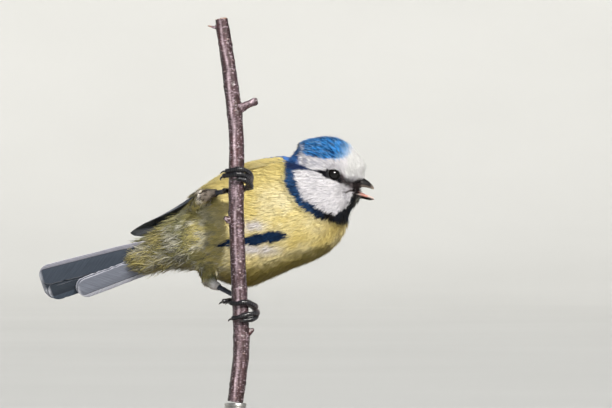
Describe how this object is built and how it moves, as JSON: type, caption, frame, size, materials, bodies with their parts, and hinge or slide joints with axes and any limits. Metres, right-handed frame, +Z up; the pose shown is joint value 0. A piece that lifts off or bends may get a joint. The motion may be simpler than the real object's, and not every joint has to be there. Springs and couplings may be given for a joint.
{
  "type": "museum model of a blue tit on a twig",
  "caption": "Life-size still model of a blue tit clinging sideways to an upright twig, bill open, on a plain round display stand.",
  "frame": {"origin": "centre of the flat underside of the stand's base", "axes": "+Z up along the twig; +X the way the bird's bill points; -Y the way its belly faces"},
  "size_m": [0.1229, 0.092, 0.1518],
  "materials": {
    "plumage_yellow": "soft matte plumage, sulphur yellow with a dark belly stripe",
    "plumage_white": "soft matte plumage, white face under a blue cap",
    "plumage_navy": "soft matte plumage, dark blue collar",
    "plumage_blue": "smooth folded wing feathers, blue and grey with white tips",
    "plumage_slate": "smooth tail feathers, slate grey below and blue above",
    "bill_horn": "satin horn, blackish with pale cutting edges",
    "eye_dark": "wet gloss, very dark brown",
    "foot_scales": "scaly slate-black skin with darker horn claws",
    "twig_bark": "satin purplish brown bark with pale pores",
    "stand_wood": "oiled wood",
    "stand_steel": "brushed steel"
  },
  "bodies": {
    "root": {"head": "plumage_white", "neck": "plumage_navy", "trunk": "plumage_yellow", "tail": "plumage_slate", "wing_right": "plumage_blue", "wing_left": "plumage_blue", "thigh_right": "plumage_yellow", "thigh_left": "plumage_yellow", "foot_right": "foot_scales", "foot_left": "foot_scales", "bill_upper": "bill_horn", "bill_lower": "bill_horn", "eye_right": "eye_dark", "eye_left": "eye_dark", "perch": "twig_bark", "stand_base": "stand_wood", "stand_rod": "stand_steel"}
  },
  "joints": []
}
